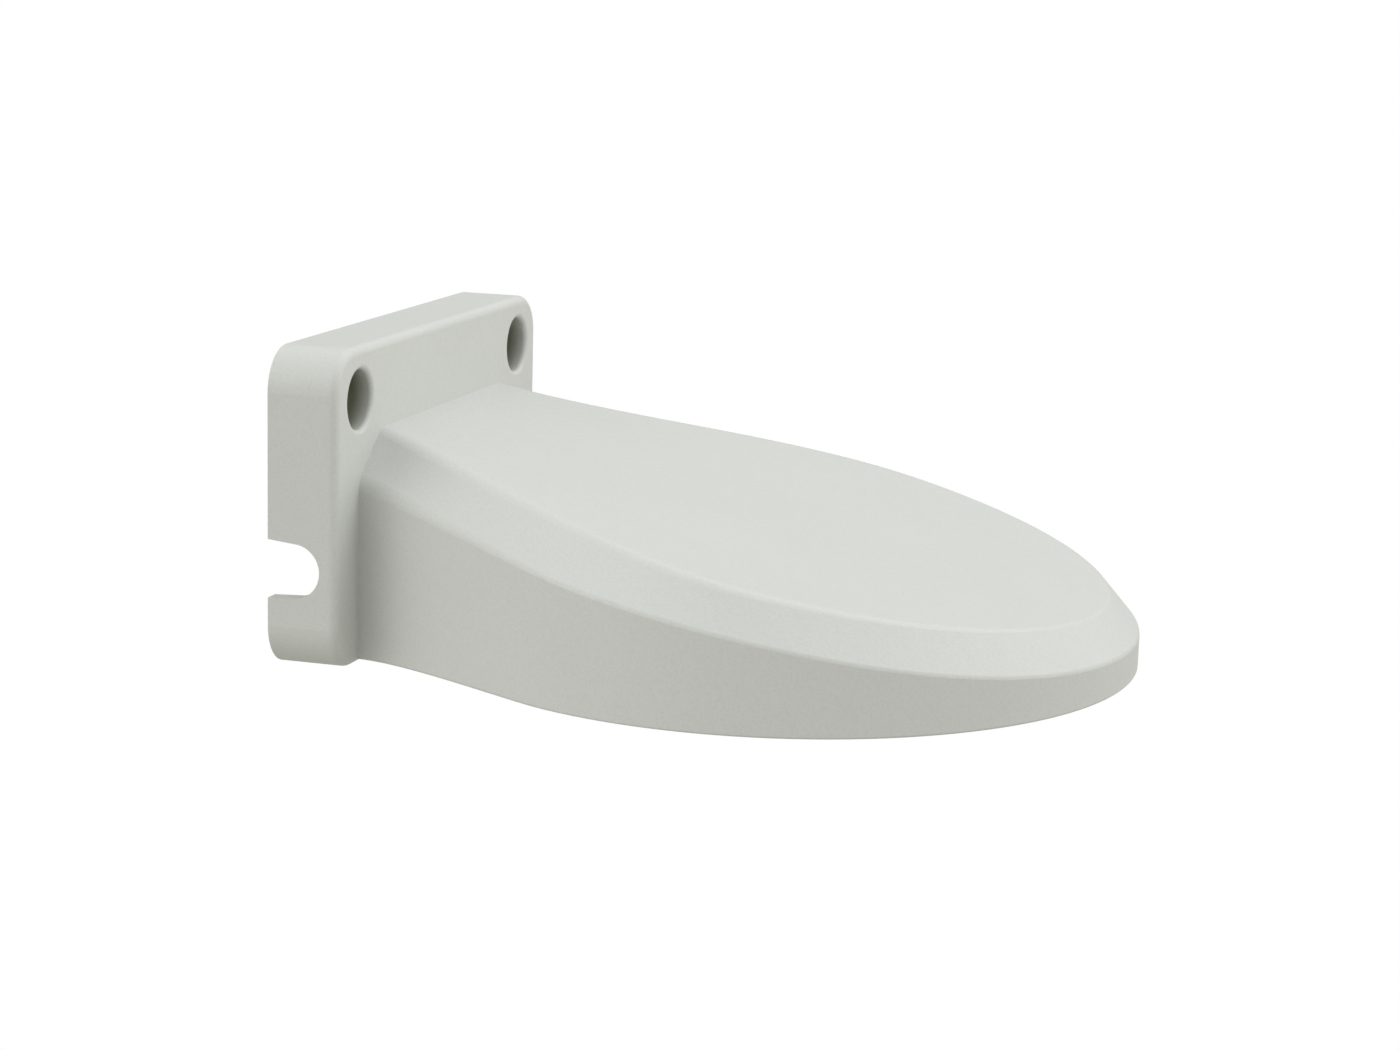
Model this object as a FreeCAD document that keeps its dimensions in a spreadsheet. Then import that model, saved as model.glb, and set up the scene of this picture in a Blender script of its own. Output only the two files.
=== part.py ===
import FreeCAD, Part
import os
import math

# Wall bracket for a dome camera.  Working frame: X out from the wall,
# Y across, Z up.  The geometry is drawn from the lower edge of the wall
# flange; every sub-part is then placed so that the origin is the midpoint
# between the two wall screws, on the wall plane.

V = FreeCAD.Vector
doc = FreeCAD.newDocument("dome_camera_wall_bracket")

# ---------------------------------------------------------------- sizes, mm
sheet = doc.addObject("Spreadsheet::Sheet", "Dims")
SIZES = [
    ("flange_width", 93.2), ("flange_height", 53.0), ("flange_depth", 12.2),
    ("flange_corner", 7.2), ("flange_edge", 1.45), ("wall", 2.8),
    ("screw_offset", 36.9), ("screw_height", 44.2), ("well_radius", 5.0),
    ("well_floor", 2.6), ("well_boss", 7.6), ("well_rim", 0.9), ("wall_hole_radius", 2.6),
    ("notch_low", 12.2), ("notch_high", 21.2), ("notch_straight", 5.3), ("notch_end", 9.1),
    ("window_width", 44.0), ("window_low", 7.0), ("window_high", 33.0), ("window_corner", 4.0),
    ("rib_thick", 1.8), ("flange_rib_offset", 24.0), ("flange_rib_low", 25.5),
    ("rim_height", 0.6), ("head_centre", 74.7), ("head_radius", 61.0), ("top_radius", 55.6),
    ("edge_soft_root", 4.0), ("edge_soft_nose", 0.9), ("edge_low_root", 3.5), ("edge_low_nose", 1.0),
    ("rim_edge", 0.4), ("dish_depth", 1.4), ("dish_radius", 15.2),
    ("arm_rib_offset", 15.0), ("arm_rib_low", 13.0), ("arm_rib_end", 98.0),
    ("plate_recess", 1.5), ("plate_thick", 2.0), ("plate_gap", 0.4),
    ("post_radius", 4.0), ("post_pilot", 1.5), ("post_depth", 8.0),
    ("post_back_x", 24.0), ("post_back_y", 31.6), ("post_ring", 52.6), ("post_angle", 38.0),
    ("csk_radius", 3.0), ("csk_height", 1.6), ("screw_length", 8.0), ("screw_radius", 1.5),
    ("nut_pcd", 85.0), ("nut_shank", 2.7), ("nut_shank_length", 1.4), ("nut_thread", 1.65),
    ("nut_radius", 3.95), ("nut_height", 2.0),
    ("cable_hole", 12.0), ("grommet_bore", 9.0), ("grommet_lip", 14.5), ("grommet_lip_thick", 1.3),
]
for row, (name, value) in enumerate(SIZES, start=1):
    sheet.set("A%d" % row, name)
    sheet.set("B%d" % row, "%g" % value)
    sheet.setAlias("B%d" % row, name)
doc.recompute()


def D(name):
    return float(getattr(sheet, name))


# ------------------------------------------------------------ small helpers
def plane(body, role):
    for feature in body.Origin.OriginFeatures:
        if getattr(feature, "Role", "") == role:
            return feature
    raise RuntimeError("no plane " + role)


def attach(sketch, body, role, offset=None):
    sketch.AttachmentSupport = [(plane(body, role), "")]
    sketch.MapMode = "FlatFace"
    if offset is not None:
        sketch.setExpression("AttachmentOffset.Base.z", offset)


def rectangle(body, name, role, width, low, high, offset=None):
    """Centred on the vertical axis, from low to high (all expressions)."""
    import Sketcher
    s = body.newObject("Sketcher::SketchObject", name)
    attach(s, body, role, offset)
    p = [V(-20, 5, 0), V(20, 5, 0), V(20, 30, 0), V(-20, 30, 0)]
    for i in range(4):
        s.addGeometry(Part.LineSegment(p[i], p[(i + 1) % 4]), False)
    for i in range(4):
        s.addConstraint(Sketcher.Constraint("Coincident", i, 2, (i + 1) % 4, 1))
    s.addConstraint(Sketcher.Constraint("Horizontal", 0))
    s.addConstraint(Sketcher.Constraint("Horizontal", 2))
    s.addConstraint(Sketcher.Constraint("Vertical", 1))
    s.addConstraint(Sketcher.Constraint("Vertical", 3))
    for label, con, expr in (
            ("right", Sketcher.Constraint("DistanceX", -1, 1, 1, 1, 20.0), "(%s) / 2" % width),
            ("width", Sketcher.Constraint("DistanceX", 0, 1, 0, 2, 40.0), width),
            ("low", Sketcher.Constraint("DistanceY", -1, 1, 0, 1, 5.0), low),
            ("high", Sketcher.Constraint("DistanceY", -1, 1, 2, 1, 30.0), high)):
        i = s.addConstraint(con)
        s.renameConstraint(i, label)
        s.setExpression("Constraints." + label, expr)
    return s


def circles(body, name, role, places, radius, offset=None):
    """Circles at (x expression, y expression, signs) in the sketch plane."""
    import Sketcher
    s = body.newObject("Sketcher::SketchObject", name)
    attach(s, body, role, offset)
    for n, (ex, ey) in enumerate(places):
        # the centre is steered by its distances from the origin; the sign is
        # carried by the order of the two points
        x0 = 10.0 * (n + 1)
        sx = -1 if ex.startswith("-") else 1
        sy = -1 if ey.startswith("-") else 1
        g = s.addGeometry(Part.Circle(V(sx * x0, sy * 10.0, 0), V(0, 0, 1), 2.0), False)
        for axis, sign, expr in (("X", sx, ex.lstrip("-")), ("Y", sy, ey.lstrip("-"))):
            if expr == "0":
                i = s.addConstraint(Sketcher.Constraint(
                    "PointOnObject", g, 3, -2 if axis == "X" else -1))
                continue
            if sign > 0:
                con = Sketcher.Constraint("Distance" + axis, -1, 1, g, 3, x0 if axis == "X" else 10.0)
            else:
                con = Sketcher.Constraint("Distance" + axis, g, 3, -1, 1, x0 if axis == "X" else 10.0)
            i = s.addConstraint(con)
            label = "c%s%d" % (axis, n)
            s.renameConstraint(i, label)
            s.setExpression("Constraints." + label, expr)
        i = s.addConstraint(Sketcher.Constraint("Radius", g, 2.0))
        s.renameConstraint(i, "rad%d" % n)
        s.setExpression("Constraints.rad%d" % n, radius)
    return s


def pad(body, name, sketch, length, reverse=False):
    f = body.newObject("PartDesign::Pad", name)
    f.Profile = sketch
    f.setExpression("Length", length)
    f.Reversed = reverse
    doc.recompute()
    return f


def pocket(body, name, sketch, length, reverse=False):
    before = body.Shape.Volume
    f = body.newObject("PartDesign::Pocket", name)
    f.Profile = sketch
    f.setExpression("Length", length)
    f.Reversed = reverse
    doc.recompute()
    if not body.Shape.Volume < before - 0.1:
        raise RuntimeError("pocket %s cut nothing" % name)
    return f


def body_fillet(body, name, base, radius, test):
    """Round the edges of base for which test(edge) is true."""
    names = ["Edge%d" % (i + 1) for i, e in enumerate(base.Shape.Edges) if test(e)]
    if not names:
        raise RuntimeError("no edges for " + name)
    f = body.newObject("PartDesign::Fillet", name)
    f.Base = (base, names)
    f.setExpression("Radius", radius)
    doc.recompute()
    return f


def straight_x(e):
    if len(e.Vertexes) != 2:
        return False
    a, b = e.Vertexes[0].Point, e.Vertexes[1].Point
    return abs(a.y - b.y) < 1e-6 and abs(a.z - b.z) < 1e-6


def in_plane_x(e, x):
    bb = e.BoundBox
    return abs(bb.XMin - x) < 1e-5 and abs(bb.XMax - x) < 1e-5


# --------------------------------------------- wall flange, a hollow casting
W, H, T = D("flange_width"), D("flange_height"), D("flange_depth")
t = D("wall")
flange = doc.addObject("PartDesign::Body", "flange")
sk = rectangle(flange, "flange_outline", "YZ_Plane", "Dims.flange_width", "0", "Dims.flange_height")
f = pad(flange, "flange_block", sk, "Dims.flange_depth")
f = body_fillet(flange, "flange_corners", f, "Dims.flange_corner", straight_x)
f = body_fillet(flange, "flange_front_edge", f, "Dims.flange_edge", lambda e: in_plane_x(e, T))

# rear cavity, the thickness of the front wall short of the front face
sk = rectangle(flange, "cavity_outline", "YZ_Plane",
               "Dims.flange_width - 2 * Dims.wall", "Dims.wall", "Dims.flange_height - Dims.wall")
f = pocket(flange, "rear_cavity", sk, "Dims.flange_depth - Dims.wall", True)


def cavity_corner(e):
    if not straight_x(e):
        return False
    p = e.CenterOfMass
    return abs(abs(p.y) - (W / 2 - t)) < 1e-4 and (abs(p.z - t) < 1e-4 or abs(p.z - (H - t)) < 1e-4)


f = body_fillet(flange, "cavity_corners", f, "Dims.flange_corner - Dims.wall", cavity_corner)

# the two wall screws sink into wells that stand on the wall
both = [("Dims.screw_offset", "Dims.screw_height"), ("-Dims.screw_offset", "Dims.screw_height")]
sk = circles(flange, "well_bosses", "YZ_Plane", both, "Dims.well_boss")
f = pad(flange, "well_boss_pad", sk, "Dims.flange_depth - Dims.wall / 2")
sk = circles(flange, "wells", "YZ_Plane", both, "Dims.well_radius", "Dims.flange_depth")
f = pocket(flange, "well_bores", sk, "Dims.flange_depth - Dims.well_floor")
sk = circles(flange, "wall_holes", "YZ_Plane", both, "Dims.wall_hole_radius", "Dims.flange_depth")
f = pocket(flange, "wall_hole_bores", sk, "Dims.flange_depth + 1")
f = body_fillet(flange, "well_rims", f, "Dims.well_rim",
                lambda e: in_plane_x(e, T) and e.BoundBox.YLength < 2 * D("well_radius") + 0.1)

# cable window through the front wall into the arm
sk = rectangle(flange, "window_outline", "YZ_Plane", "Dims.window_width", "Dims.window_low",
               "Dims.window_high", "Dims.flange_depth")
f = pocket(flange, "cable_window", sk, "Dims.wall + 0.5")


def window_corner(e):
    p = e.CenterOfMass
    return (straight_x(e) and p.x > T - t - 0.1 and abs(abs(p.y) - D("window_width") / 2) < 1e-4
            and min(abs(p.z - D("window_low")), abs(p.z - D("window_high"))) < 1e-4)


f = body_fillet(flange, "window_corners", f, "Dims.window_corner", window_corner)

# stiffening ribs behind the front wall: one over the window, one each side
import Sketcher
for name, y in (("rib_middle", "0"), ("rib_near", "-Dims.flange_rib_offset"), ("rib_far", "Dims.flange_rib_offset")):
    s_ = flange.newObject("Sketcher::SketchObject", name + "_outline")
    attach(s_, flange, "XY_Plane", "Dims.window_high + 1" if name == "rib_middle" else "Dims.flange_rib_low")
    yc = {"rib_middle": 0.0, "rib_near": -D("flange_rib_offset"), "rib_far": D("flange_rib_offset")}[name]
    r2 = D("rib_thick") / 2
    q = [V(1.0, yc - r2, 0), V(T - t + 0.5, yc - r2, 0), V(T - t + 0.5, yc + r2, 0), V(1.0, yc + r2, 0)]
    for i in range(4):
        s_.addGeometry(Part.LineSegment(q[i], q[(i + 1) % 4]), False)
    f = pad(flange, name, s_, "Dims.flange_height - Dims.wall / 2 - " +
            ("Dims.window_high - 1" if name == "rib_middle" else "Dims.flange_rib_low"))

# cable notch in the near side wall, open to the wall plane
s_ = flange.newObject("Sketcher::SketchObject", "notch_outline")
attach(s_, flange, "XZ_Plane", "Dims.flange_width / 2")
lo_, hi_, st_, en_ = D("notch_low"), D("notch_high"), D("notch_straight"), D("notch_end")
s_.addGeometry(Part.LineSegment(V(-1, lo_ - 0.3, 0), V(st_, lo_, 0)), False)
s_.addGeometry(Part.Arc(V(st_, lo_, 0), V(en_, (lo_ + hi_) / 2 - 0.15, 0), V(st_, hi_, 0)), False)
s_.addGeometry(Part.LineSegment(V(st_, hi_, 0), V(-1, hi_ + 0.65, 0)), False)
s_.addGeometry(Part.LineSegment(V(-1, hi_ + 0.65, 0), V(-1, lo_ - 0.3, 0)), False)
f = pocket(flange, "side_notch", s_, "Dims.wall + 0.5")
bbn = f.Shape.BoundBox
flange.Tip = f
doc.recompute()


# ------------------------------------------------------- arm and round head
# Outline from above: a curve leaves the flange on each side and runs into
# the circle of the head.  All numbers below are offsets from the flange.
XC, RD, R1 = D("head_centre"), D("head_radius"), D("top_radius")
ZB = D("rim_height")
XN = XC + RD
LOWER = dict(w=37.53, k=math.radians(1.96), h0=8.978, h1=8.277, ph=math.radians(22.7), r=RD)
UPPER = dict(w=27.94, k=math.radians(18.27), h0=27.208, h1=24.302, ph=math.radians(-10.75), r=R1)
TOP_Z = [38.374, 30.263, 24.581, 17.502, 11.556]
EDGE_Z = [30.776, 21.783, 19.334, 10.385, 6.568]


def poly(x, c):
    u = (x - T) / (XN - T)
    n = len(c) - 1
    return sum(math.comb(n, i) * (1 - u) ** (n - i) * u ** i * c[i] for i in range(n + 1))


def half_curve(q, inset):
    """Control points of the near-side curve and the head radius."""
    r = q["r"] - inset
    s, c = math.sin(q["ph"]), math.cos(q["ph"])
    p0 = (T, -(q["w"] - inset))
    d = (math.cos(q["k"]), -math.sin(q["k"]))
    p1 = (p0[0] + d[0] * q["h0"], p0[1] + d[1] * q["h0"])
    p3 = (XC - r * s, -r * c)
    p2 = (p3[0] - c * q["h1"], p3[1] + s * q["h1"])
    return p0, p1, p2, p3, r


def plan_samples(q, inset, n=400):
    p0, p1, p2, p3, r = half_curve(q, inset)
    out = []
    for i in range(n + 1):
        u = i / n
        a, b, c, d = (1 - u) ** 3, 3 * (1 - u) ** 2 * u, 3 * (1 - u) * u * u, u ** 3
        out.append((a * p0[0] + b * p1[0] + c * p2[0] + d * p3[0],
                    a * p0[1] + b * p1[1] + c * p2[1] + d * p3[1]))
    for i in range(1, n + 1):
        th = -q["ph"] + (math.pi / 2 + q["ph"]) * i / n
        out.append((XC + r * math.sin(th), -r * math.cos(th)))
    return out


def even(points, n):
    """n + 1 points at equal steps of length along the half outline."""
    s = [0.0]
    for a, b in zip(points, points[1:]):
        s.append(s[-1] + math.hypot(b[0] - a[0], b[1] - a[1]))
    out, j = [], 0
    for i in range(n + 1):
        d = s[-1] * i / n
        while j < len(s) - 2 and s[j + 1] < d:
            j += 1
        u = (d - s[j]) / (s[j + 1] - s[j])
        out.append((points[j][0] + u * (points[j + 1][0] - points[j][0]),
                    points[j][1] + u * (points[j + 1][1] - points[j][1])))
    out[-1] = points[-1]
    return out


def spline(points):
    c = Part.BSplineCurve()
    c.interpolate(points)
    return c.toShape()


def plan_face(inset, z, x_start):
    p0, p1, p2, p3, r = half_curve(LOWER, inset)
    m = lambda p, s: V(p[0], s * -p[1], z)
    edges = []
    for s in (-1, 1):
        b = Part.BezierCurve()
        b.setPoles([m(p0, s), m(p1, s), m(p2, s), m(p3, s)])
        edges.append(b.toShape())
    arc = Part.Arc(m(p3, -1), V(XC + r, 0, z), m(p3, 1)).toShape()
    a, b = m(p0, 1), m(p0, -1)
    edges.append(arc)
    if T - x_start < 1e-6:
        edges.append(Part.makeLine(a, b))
    else:
        a2, b2 = V(x_start, a.y, z), V(x_start, b.y, z)
        edges += [Part.makeLine(a, a2), Part.makeLine(a2, b2), Part.makeLine(b2, b)]
    return Part.Face(Part.Wire(Part.__sortEdges__(edges)))


def roof_face(drop, x_start, low):
    """Side profile below the sloping roof, in the plane y = -80."""
    pole = [V(T + (XN - T) * i / 4.0, -80, z - drop) for i, z in enumerate(TOP_Z)]
    b = Part.BezierCurve()
    b.setPoles(pole)
    k0 = (TOP_Z[1] - TOP_Z[0]) / ((XN - T) / 4.0)
    k1 = (TOP_Z[4] - TOP_Z[3]) / ((XN - T) / 4.0)
    a = V(x_start, -80, pole[0].z + k0 * (x_start - T))
    e = V(XN + 3, -80, pole[4].z + k1 * 3)
    pts = [e, V(XN + 3, -80, low), V(x_start, -80, low), a]
    edges = [Part.makeLine(a, pole[0]), b.toShape(), Part.makeLine(pole[4], e)]
    edges += [Part.makeLine(pts[i], pts[i + 1]) for i in range(3)]
    return Part.Face(Part.Wire(Part.__sortEdges__(edges)))


def bevel_tool(in_low, in_up, dz_low, dz_up, back):
    """Wedge that takes the corner off between the side wall and the roof."""
    n = 36
    lo = even(plan_samples(LOWER, in_low), n)
    up = even(plan_samples(UPPER, in_up), n)
    rows = []
    for a, b in zip(lo, up):
        e2 = V(a[0], a[1], poly(a[0], EDGE_Z) + dz_low)
        e1 = V(b[0], b[1], poly(b[0], TOP_Z) + dz_up)
        rows.append((e2, e1))
    # carry the first row back into the flange
    lead = []
    for j in (0, 1):
        d = rows[0][j] - rows[1][j]
        lead.append(rows[0][j] + d * (back / abs(d.x)))
    rows.insert(0, tuple(lead))
    k = 0.45
    A, B, C = [], [], []
    for e2, e1 in rows:
        d = e2 - e1
        a, b = e2 + d * k, e1 - d * k
        flat = V(d.x, d.y, 0)
        flat.normalize()
        A.append(a)
        B.append(b)
        C.append(V(a.x, a.y, b.z) + flat * 4 + V(0, 0, 4))
    mirror = lambda P: [V(p.x, -p.y, p.z) for p in reversed(P[:-1])]
    A, B, C = A + mirror(A), B + mirror(B), C + mirror(C)
    ea, eb, ec = spline(A), spline(B), spline(C)
    faces = [Part.makeRuledSurface(ea, eb), Part.makeRuledSurface(eb, ec), Part.makeRuledSurface(ec, ea)]
    for i in (0, -1):
        faces.append(Part.Face(Part.makePolygon([A[i], B[i], C[i], A[i]])))
    shell = Part.Shell(Part.makeShell(faces).Faces)
    shell.sewShape()
    solid = Part.Solid(shell)
    if solid.Volume < 0:
        solid.reverse()
    return solid


def wedge(in_low, in_up, dz_low, dz_up, drop, low, x_start):
    block = plan_face(in_low, low, x_start).extrude(V(0, 0, 60))
    roof = roof_face(drop, x_start - 1, low - 1).extrude(V(0, 160, 0))
    tool = bevel_tool(in_low, in_up, dz_low, dz_up, T - x_start + 2)
    return block.common(roof).cut(tool)


def sheet_curve(shape, c, shortest):
    """The long edge of shape whose height follows the polynomial c."""
    out = []
    for e in shape.Edges:
        if e.Length < shortest or "BSpline" not in e.Curve.TypeId:
            continue
        a, b = e.ParameterRange
        p = [e.valueAt(a + (b - a) * u) for u in (0.2, 0.5, 0.8)]
        if max(abs(q.z - poly(q.x, c)) for q in p) < 0.25 and max(abs(q.y) for q in p) > 1:
            out.append(e)
    return out


def checked(shape, what):
    if shape.isNull() or not shape.isValid() or len(shape.Solids) != 1:
        raise RuntimeError(what + " is not one valid solid")
    return shape


# near half with its soft edges, then mirrored: the roof edge is soft at the
# flange and sharpens towards the nose
half = wedge(0, 0, 0, 0, 0, ZB, T).common(Part.makeBox(300, 200, 300, V(-50, -200, -50)))


def soften(shape, edges, root, nose):
    """Rounding whose radius changes from root to nose along the edges.
    The sense of the law follows the edge, so both are made and the one that
    takes more off beside the flange is kept."""
    beside = Part.makeBox(8, 200, 100, V(T, -150, -10))
    best = None
    for pair in ((root, nose), (nose, root)):
        trial = shape.makeFillet(*pair, edges)
        left = trial.common(beside).Volume
        if best is None or left < best[0]:
            best = (left, trial)
    return best[1]


edge = sheet_curve(half, TOP_Z, 100)
if len(edge) != 1:
    raise RuntimeError("roof edge not found")
half = checked(soften(half, edge, D("edge_soft_root"), D("edge_soft_nose")), "roof edge")
edge = [e for e in sheet_curve(half, EDGE_Z, 20) if e.BoundBox.XMin < T + 1]
half = checked(soften(half, edge, D("edge_low_root"), D("edge_low_nose")), "side edge")
rim = [e for e in half.Edges if abs(e.BoundBox.ZMax - ZB) < 1e-4 and e.Length > 30
       and e.BoundBox.YMax < -1e-3 + 1 and e.BoundBox.XLength > 5 and "Line" not in e.Curve.TypeId]
half = checked(half.makeFillet(D("rim_edge"), rim), "rim edge")
arm_outer = doc.addObject("Part::Feature", "arm_outer")
arm_outer.Shape = checked(half.fuse(half.mirror(V(0, 0, 0), V(0, 1, 0))).removeSplitter(), "arm")

# hollow: the same form, one wall thickness in, open below
arm_core = doc.addObject("Part::Feature", "arm_core")
arm_core.Shape = checked(wedge(t, t * 0.36, -t * 0.5, -t, t, -2.0, T), "arm core")

outside = doc.addObject("Part::Fuse", "outside")
outside.Base, outside.Tool = flange, arm_outer
doc.recompute()


hollow = doc.addObject("Part::Cut", "hollow")
hollow.Base, hollow.Tool = outside, arm_core
doc.recompute()

# inside the arm: four posts for the camera plate's screws and two long ribs
PLATE_LOW = ZB + D("plate_recess")
PLATE_TOP = PLATE_LOW + D("plate_thick")
ang = math.radians(D("post_angle"))
POSTS = [(D("post_back_x"), -D("post_back_y")), (D("post_back_x"), D("post_back_y")),
         (XC + D("post_ring") * math.cos(ang), -D("post_ring") * math.sin(ang)),
         (XC + D("post_ring") * math.cos(ang), D("post_ring") * math.sin(ang))]
inner = wedge(1.0, 0.5, -0.5, -1.0, 1.0, ZB, T - 0.001)
details = []
for x, y in POSTS:
    details.append(Part.makeCylinder(D("post_radius"), 60, V(x, y, PLATE_TOP)))
for s_y in (-1, 1):
    details.append(Part.makeBox(D("arm_rib_end") - T, D("rib_thick"), 60,
                                V(T, s_y * D("arm_rib_offset") - D("rib_thick") / 2, D("arm_rib_low"))))
details = [d.common(inner) for d in details]
inside = doc.addObject("Part::Feature", "inside_details")
inside.Shape = Part.makeCompound(details)
pilots = doc.addObject("Part::Feature", "post_pilots")
pilots.Shape = Part.makeCompound([Part.makeCylinder(D("post_pilot"), D("post_depth"), V(x, y, PLATE_TOP)) for x, y in POSTS])

full = doc.addObject("Part::Feature", "bracket_full")
full.Shape = checked(hollow.Shape.multiFuse(details), "casting")
body = doc.addObject("Part::Cut", "bracket_body")
body.Base, body.Tool = full, pilots
body.Label = "bracket_body"

# ------------------------------------------------------------- camera plate
DISH = D("dish_depth")
blank = doc.addObject("Part::Feature", "plate_blank")
sheet_metal = plan_face(t + D("plate_gap"), PLATE_LOW, T).extrude(V(0, 0, D("plate_thick"))).cut(
    Part.makeBox(D("plate_gap"), 200, 40, V(T, -100, -5)))
# pressed dish round the cable hole, so that the grommet stays flush below
r_d, c_d = D("dish_radius"), 0.8
raised = Part.makeCone(r_d + c_d + 2.4, r_d + 1.6, DISH, V(XC, 0, PLATE_TOP))
pressed = Part.makeCone(r_d + c_d, r_d, DISH, V(XC, 0, PLATE_LOW))
blank.Shape = checked(sheet_metal.fuse(raised).cut(pressed), "plate blank")
holes = [Part.makeCylinder(D("cable_hole"), 10, V(XC, 0, PLATE_LOW - 4))]
NUTS = [(XC + D("nut_pcd") / 2 * math.cos(math.radians(d)), D("nut_pcd") / 2 * math.sin(math.radians(d)))
        for d in (0, 120, 240)]
for x, y in NUTS:
    holes.append(Part.makeCylinder(D("nut_shank"), 10, V(x, y, PLATE_LOW - 4)))
for x, y in POSTS:
    holes.append(Part.makeCylinder(D("screw_radius"), 10, V(x, y, PLATE_LOW - 4)))
    holes.append(Part.makeCone(D("csk_radius"), D("screw_radius"), D("csk_height"), V(x, y, PLATE_LOW)))
drill = doc.addObject("Part::Feature", "plate_drillings")
drill.Shape = holes[0].multiFuse(holes[1:])
plate = doc.addObject("Part::Cut", "camera_plate")
plate.Base, plate.Tool = blank, drill
plate.Label = "camera_plate"


def revolved(name, points, fillet=None):
    """A turned piece about its own Z axis; points are (radius, height)."""
    b = doc.addObject("PartDesign::Body", name)
    s_ = b.newObject("Sketcher::SketchObject", name + "_profile")
    attach(s_, b, "XZ_Plane")
    q = [V(r, z, 0) for r, z in points]
    for i in range(len(q)):
        s_.addGeometry(Part.LineSegment(q[i], q[(i + 1) % len(q)]), False)
    r_ = b.newObject("PartDesign::Revolution", name + "_turned")
    r_.Profile = s_
    r_.ReferenceAxis = (s_, ["V_Axis"])
    r_.Angle = 360
    doc.recompute()
    b.Tip = r_
    return b


def copies(label, source, places):
    g = doc.addObject("Part::Feature", label)
    out = []
    for x, y in places:
        c = source.Shape.copy()
        c.translate(V(x, y, 0))
        out.append(c)
    g.Shape = Part.makeCompound(out)
    g.Label = label
    return g


# countersunk screws, flush with the plate, with a cross recess
zs = PLATE_LOW
screw = revolved("one_screw", [(0, zs), (D("csk_radius"), zs), (D("screw_radius"), zs + D("csk_height")),
                               (D("screw_radius"), zs + D("screw_length") - 0.6),
                               (D("screw_radius") - 0.5, zs + D("screw_length")), (0, zs + D("screw_length"))])
cross = Part.makeBox(3.0, 0.7, 1.1, V(-1.5, -0.35, zs - 0.1)).fuse(Part.makeBox(0.7, 3.0, 1.1, V(-0.35, -1.5, zs - 0.1)))
recess = doc.addObject("Part::Feature", "cross_recess")
recess.Shape = cross
screw_cut = doc.addObject("Part::Cut", "screw_with_recess")
screw_cut.Base, screw_cut.Tool = screw, recess
doc.recompute()
plate_screws = copies("camera_plate_screws", screw_cut, POSTS)

# clinch nuts pressed in from above
ns = PLATE_TOP - D("nut_shank_length")
nut = revolved("one_nut", [(D("nut_thread"), ns), (D("nut_shank"), ns), (D("nut_shank"), PLATE_TOP),
                           (D("nut_radius"), PLATE_TOP), (D("nut_radius"), PLATE_TOP + D("nut_height") - 0.4),
                           (D("nut_radius") - 0.4, PLATE_TOP + D("nut_height")),
                           (D("nut_thread"), PLATE_TOP + D("nut_height"))])
nuts = copies("camera_clinch_nuts", nut, NUTS)

# rubber grommet snapped into the cable hole
gl, gt = D("grommet_lip"), D("grommet_lip_thick")
g0, g1 = PLATE_LOW + DISH, PLATE_TOP + DISH
grommet = revolved("one_grommet", [
    (D("grommet_bore"), g0 - gt), (gl - 0.6, g0 - gt), (gl, g0 - gt + 0.6), (gl, g0),
    (D("cable_hole"), g0), (D("cable_hole"), g1), (gl, g1), (gl, g1 + gt - 0.6),
    (gl - 0.6, g1 + gt), (D("grommet_bore"), g1 + gt)])
cable_grommet = copies("cable_grommet", grommet, [(XC, 0)])

nodes = [body, plate, plate_screws, nuts, cable_grommet]
for n in nodes:
    n.setExpression("Placement.Base.z", "-Dims.screw_height")
doc.recompute()

# ------------------------------------------------------------ check, export
for o in doc.Objects:
    if "Invalid" in o.State or "Error" in o.State:
        raise RuntimeError("%s did not rebuild: %s" % (o.Name, o.State))
for n in nodes:
    if n.Shape.isNull() or not n.Shape.isValid():
        raise RuntimeError(n.Label + " is not a valid shape")
    if not n.Shape.Solids:
        raise RuntimeError(n.Label + " holds no solid")
os.makedirs("parts", exist_ok=True)
for n in nodes:
    n.Shape.exportStep("parts/%s.step" % n.Label)
    bb = n.Shape.BoundBox
    print("%-22s solids %d faces %3d volume %9.1f  x %.2f..%.2f y %.2f..%.2f z %.2f..%.2f" % (
        n.Label, len(n.Shape.Solids), len(n.Shape.Faces), n.Shape.Volume,
        bb.XMin, bb.XMax, bb.YMin, bb.YMax, bb.ZMin, bb.ZMax))
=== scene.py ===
import bpy, math
from mathutils import Vector, Matrix

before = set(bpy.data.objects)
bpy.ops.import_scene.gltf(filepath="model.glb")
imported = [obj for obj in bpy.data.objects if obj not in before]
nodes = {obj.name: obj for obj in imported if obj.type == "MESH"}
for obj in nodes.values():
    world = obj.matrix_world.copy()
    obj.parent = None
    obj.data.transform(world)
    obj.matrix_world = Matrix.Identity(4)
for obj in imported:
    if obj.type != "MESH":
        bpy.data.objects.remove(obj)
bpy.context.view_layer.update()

scene = bpy.context.scene
scene.view_settings.view_transform = "Standard"
scene.view_settings.look = "None"

MM = 0.001


# ------------------------------------------------------------------ materials
def material(name):
    m = bpy.data.materials.new(name)
    m.use_nodes = True
    nt = m.node_tree
    nt.nodes.clear()
    out = nt.nodes.new("ShaderNodeOutputMaterial")
    b = nt.nodes.new("ShaderNodeBsdfPrincipled")
    nt.links.new(b.outputs["BSDF"], out.inputs["Surface"])
    return m, nt, b


def link(nt, a, b):
    nt.links.new(a, b)


def node(nt, kind, **values):
    n = nt.nodes.new(kind)
    for k, v in values.items():
        if k in n.inputs:
            n.inputs[k].default_value = v
        else:
            setattr(n, k, v)
    return n


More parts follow.
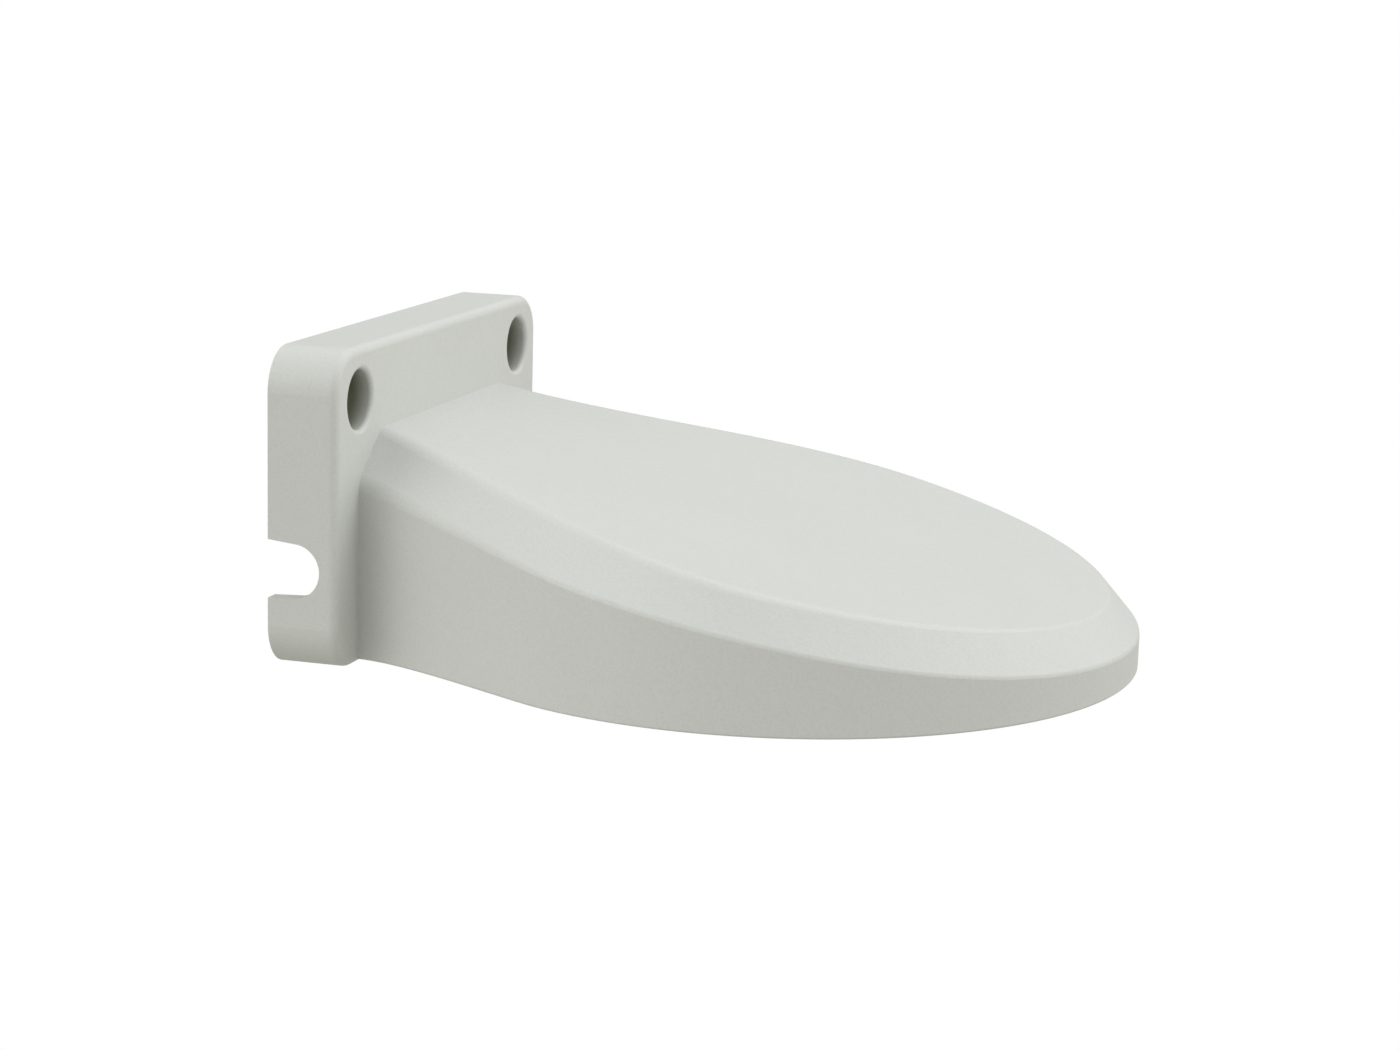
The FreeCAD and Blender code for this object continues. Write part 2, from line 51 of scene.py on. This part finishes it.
def noise(nt, vector, scale, detail=3.0, rough=0.55, distortion=0.0):
    n = nt.nodes.new("ShaderNodeTexNoise")
    n.inputs["Scale"].default_value = scale
    n.inputs["Detail"].default_value = detail
    n.inputs["Roughness"].default_value = rough
    n.inputs["Distortion"].default_value = distortion
    link(nt, vector, n.inputs["Vector"])
    return n


def ramp(nt, fac, stops):
    r = nt.nodes.new("ShaderNodeValToRGB")
    el = r.color_ramp.elements
    while len(el) < len(stops):
        el.new(0.5)
    for e, (p, c) in zip(el, stops):
        e.position = p
        e.color = c if len(c) == 4 else (*c, 1)
    link(nt, fac, r.inputs["Fac"])
    return r


def calc(nt, op, a, b, c=None):
    n = nt.nodes.new("ShaderNodeMath")
    n.operation = op
    for i, v in enumerate((a, b) if c is None else (a, b, c)):
        if isinstance(v, (int, float)):
            n.inputs[i].default_value = v
        else:
            nt.links.new(v, n.inputs[i])
    return n.outputs[0]


def painted_well_shade(nt, co, y, radius, floor, bottom, mouth, shade):
    """Painted shade in a deep well: 1 outside, falling to shade down the bore."""
    sp = nt.nodes.new("ShaderNodeSeparateXYZ")
    link(nt, co, sp.inputs[0])
    off = calc(nt, "SUBTRACT", calc(nt, "ABSOLUTE", sp.outputs[1], 0.0), y)
    r2 = calc(nt, "ADD", calc(nt, "MULTIPLY", off, off), calc(nt, "MULTIPLY", sp.outputs[2], sp.outputs[2]))
    inside = calc(nt, "LESS_THAN", r2, radius * radius)
    inside = calc(nt, "MULTIPLY", inside, calc(nt, "GREATER_THAN", sp.outputs[0], floor))
    depth = nt.nodes.new("ShaderNodeMapRange")
    depth.interpolation_type = "SMOOTHSTEP"
    depth.inputs["From Min"].default_value = mouth
    depth.inputs["From Max"].default_value = bottom
    link(nt, sp.outputs[0], depth.inputs["Value"])
    amount = calc(nt, "MULTIPLY", inside, depth.outputs["Result"])
    return ramp(nt, amount, [(0.0, (1, 1, 1)), (1.0, shade)]).outputs["Color"]


def powder_coat(name, base, rough=0.48, bump=0.12, painted_well_darkening=None):
    """Textured powder coat: orange peel with a fine grain over it; given wells get painted shade down their
    bores.
    """
    m, nt, b = material(name)
    tc = nt.nodes.new("ShaderNodeTexCoord")
    co = tc.outputs["Object"]
    peel = noise(nt, co, 900.0, 2.0, 0.5)
    grain = noise(nt, co, 2600.0, 2.0, 0.6)
    blotch = noise(nt, co, 34.0, 4.0, 0.6)
    lo = tuple(c * 0.992 for c in base)
    hi = tuple(min(1.0, c * 1.006) for c in base)
    col = ramp(nt, blotch.outputs["Fac"], [(0.35, lo), (0.65, hi)])
    fleck = ramp(nt, grain.outputs["Fac"], [(0.30, (0.955, 0.955, 0.945)), (0.5, (1, 1, 1)), (0.72, (1.03, 1.03, 1.03))])
    mix = nt.nodes.new("ShaderNodeMix")
    mix.data_type = "RGBA"
    mix.blend_type = "MULTIPLY"
    mix.inputs["Factor"].default_value = 1.0
    link(nt, col.outputs["Color"], mix.inputs[6])
    link(nt, fleck.outputs["Color"], mix.inputs[7])
    colour = mix.outputs[2]
    # painted shade: the paint colour darkens down the bore of each well, where shade falls
    if painted_well_darkening:
        painted_shade_mix = nt.nodes.new("ShaderNodeMix")
        painted_shade_mix.data_type = "RGBA"
        painted_shade_mix.blend_type = "MULTIPLY"
        painted_shade_mix.inputs["Factor"].default_value = 1.0
        link(nt, colour, painted_shade_mix.inputs[6])
        link(nt, painted_well_shade(nt, co, **painted_well_darkening), painted_shade_mix.inputs[7])
        colour = painted_shade_mix.outputs[2]
    link(nt, colour, b.inputs["Base Color"])
    rr = ramp(nt, peel.outputs["Fac"], [(0.3, (rough - 0.06,) * 3), (0.7, (rough + 0.08,) * 3)])
    link(nt, rr.outputs["Color"], b.inputs["Roughness"])
    add = node(nt, "ShaderNodeMath", operation="MULTIPLY_ADD")
    link(nt, grain.outputs["Fac"], add.inputs[0])
    add.inputs[1].default_value = 0.35
    link(nt, peel.outputs["Fac"], add.inputs[2])
    bp = nt.nodes.new("ShaderNodeBump")
    bp.inputs["Strength"].default_value = bump
    bp.inputs["Distance"].default_value = 0.0002
    link(nt, add.outputs[0], bp.inputs["Height"])
    link(nt, bp.outputs["Normal"], b.inputs["Normal"])
    return m


def plated_steel(name):
    m, nt, b = material(name)
    tc = nt.nodes.new("ShaderNodeTexCoord")
    n1 = noise(nt, tc.outputs["Object"], 260.0, 4.0, 0.6)
    n2 = noise(nt, tc.outputs["Object"], 1800.0, 2.0, 0.5)
    c = ramp(nt, n1.outputs["Fac"], [(0.3, (0.52, 0.54, 0.56)), (0.7, (0.70, 0.71, 0.72))])
    link(nt, c.outputs["Color"], b.inputs["Base Color"])
    b.inputs["Metallic"].default_value = 1.0
    r = ramp(nt, n2.outputs["Fac"], [(0.3, (0.26,) * 3), (0.7, (0.38,) * 3)])
    link(nt, r.outputs["Color"], b.inputs["Roughness"])
    bp = nt.nodes.new("ShaderNodeBump")
    bp.inputs["Strength"].default_value = 0.08
    bp.inputs["Distance"].default_value = 0.0001
    link(nt, n2.outputs["Fac"], bp.inputs["Height"])
    link(nt, bp.outputs["Normal"], b.inputs["Normal"])
    return m


def rubber(name):
    m, nt, b = material(name)
    tc = nt.nodes.new("ShaderNodeTexCoord")
    n1 = noise(nt, tc.outputs["Object"], 700.0, 3.0, 0.6)
    c = ramp(nt, n1.outputs["Fac"], [(0.3, (0.020, 0.020, 0.021)), (0.7, (0.036, 0.036, 0.037))])
    link(nt, c.outputs["Color"], b.inputs["Base Color"])
    r = ramp(nt, n1.outputs["Fac"], [(0.3, (0.62,) * 3), (0.7, (0.78,) * 3)])
    link(nt, r.outputs["Color"], b.inputs["Roughness"])
    bp = nt.nodes.new("ShaderNodeBump")
    bp.inputs["Strength"].default_value = 0.15
    bp.inputs["Distance"].default_value = 0.0001
    link(nt, n1.outputs["Fac"], bp.inputs["Height"])
    link(nt, bp.outputs["Normal"], b.inputs["Normal"])
    return m


PAINT = (0.588, 0.600, 0.579)


# painted shade in the two wells: the paint colour darkens towards the well bottoms
PAINTED_SHADE_IN_WELLS = dict(y=0.0369, radius=0.0053, floor=0.0012, bottom=0.0082, mouth=0.0120, shade=(0.34, 0.35, 0.265))
casting_paint = powder_coat("casting_powder_coat", PAINT, painted_well_darkening=PAINTED_SHADE_IN_WELLS)
plate_paint = powder_coat("plate_powder_coat", PAINT, rough=0.42, bump=0.08)
zinc = plated_steel("zinc_plate")
black_rubber = rubber("black_rubber")


def paint(name, mat):
    o = nodes[name]
    o.data.materials.clear()
    o.data.materials.append(mat)


paint("bracket_body", casting_paint)
paint("camera_plate", plate_paint)
paint("camera_plate_screws", zinc)
paint("camera_clinch_nuts", zinc)
paint("cable_grommet", black_rubber)

# ---------------------------------------------------------------------- stage
FLOOR_Z = -0.30
bpy.ops.mesh.primitive_plane_add(size=80, location=(0, 0, FLOOR_Z))
floor = bpy.context.object
floor.name = "floor"
fm, fnt, fb = material("floor_pale")
FLOOR_RETURN = 0.45
fb.inputs["Base Color"].default_value = (FLOOR_RETURN * 1.01, FLOOR_RETURN, FLOOR_RETURN * 0.90, 1)
fb.inputs["Roughness"].default_value = 0.9
fb.inputs["Specular IOR Level"].default_value = 0.0
glow = fnt.nodes.new("ShaderNodeEmission")
glow.inputs["Color"].default_value = (1, 1, 1, 1)
pick = fnt.nodes.new("ShaderNodeMixShader")
fnt.links.new(fnt.nodes.new("ShaderNodeLightPath").outputs["Is Camera Ray"], pick.inputs[0])
fnt.links.new(fb.outputs["BSDF"], pick.inputs[1])
fnt.links.new(glow.outputs["Emission"], pick.inputs[2])
fnt.links.new(pick.outputs["Shader"], fnt.nodes["Material Output"].inputs["Surface"])
floor.data.materials.append(fm)

# soft studio light: a dome built from broad lobes, each (azimuth, elevation,
# sharpness, strength), azimuth 0 towards the nose and 90 towards the far side.
# The camera sees the dome and the floor as plain white.
SKY_BASE = 0.05
LOBES = [
    (0, 90, 2, 0.30),
    (-135, 12, 4, 2.07),
    (0, 12, 4, 1.38),
    (-40, 15, 8, 0.16),
    (45, 12, 4, 0.31),
    (-135, 50, 4, 0.36),
    (45, 50, 4, 1.46),
    (-75, 60, 6, 0.20),
    (135, 35, 4, 0.35),
]
world = bpy.data.worlds.new("studio")
scene.world = world
world.use_nodes = True
wt = world.node_tree
bg = wt.nodes["Background"]
wc = wt.nodes.new("ShaderNodeTexCoord")
level = SKY_BASE
for az, el, sharp, strength in LOBES:
    az, el = math.radians(az), math.radians(el)
    dot = wt.nodes.new("ShaderNodeVectorMath")
    dot.operation = "DOT_PRODUCT"
    wt.links.new(wc.outputs["Generated"], dot.inputs[0])
    dot.inputs[1].default_value = (math.cos(az) * math.cos(el), math.sin(az) * math.cos(el), math.sin(el))
    lobe = calc(wt, "POWER", calc(wt, "MAXIMUM", dot.outputs["Value"], 0.0), sharp)
    level = calc(wt, "MULTIPLY_ADD", lobe, strength, level)
seen = wt.nodes.new("ShaderNodeLightPath").outputs["Is Camera Ray"]
wt.links.new(calc(wt, "MAXIMUM", level, seen), bg.inputs["Strength"])
# low light a little warmer than light from above; plain white to the camera
split = wt.nodes.new("ShaderNodeSeparateXYZ")
wt.links.new(wc.outputs["Generated"], split.inputs[0])
rise = calc(wt, "MAXIMUM", calc(wt, "MINIMUM", calc(wt, "MULTIPLY", split.outputs[2], 1.6), 1.0), seen)
tint = ramp(wt, rise, [(0.0, (1.006, 1.0, 0.950)), (1.0, (1.0, 1.0, 1.0))])
wt.links.new(tint.outputs["Color"], bg.inputs["Color"])

# --------------------------------------------------------------------- camera
a, e, r = math.radians(16.55), math.radians(11.28), math.radians(1.57)
back = Vector((math.sin(a) * math.cos(e), -math.cos(a) * math.cos(e), math.sin(e)))
right = Vector((math.cos(a), math.sin(a), 0))
up = back.cross(right)
right2 = right * math.cos(r) + up * math.sin(r)
up2 = -right * math.sin(r) + up * math.cos(r)
cam_data = bpy.data.cameras.new("camera")
cam_data.sensor_width = 36.0
cam_data.sensor_fit = "HORIZONTAL"
cam_data.lens = 76.98
cam_data.clip_start = 0.01
cam_data.clip_end = 200
cam = bpy.data.objects.new("camera", cam_data)
scene.collection.objects.link(cam)
pos = Vector((0.20382, -0.48508, 0.07725))
cam.matrix_world = Matrix(((right2.x, up2.x, back.x, pos.x),
                           (right2.y, up2.y, back.y, pos.y),
                           (right2.z, up2.z, back.z, pos.z),
                           (0, 0, 0, 1)))
scene.camera = cam

# ------------------------------------------------------------------------ end
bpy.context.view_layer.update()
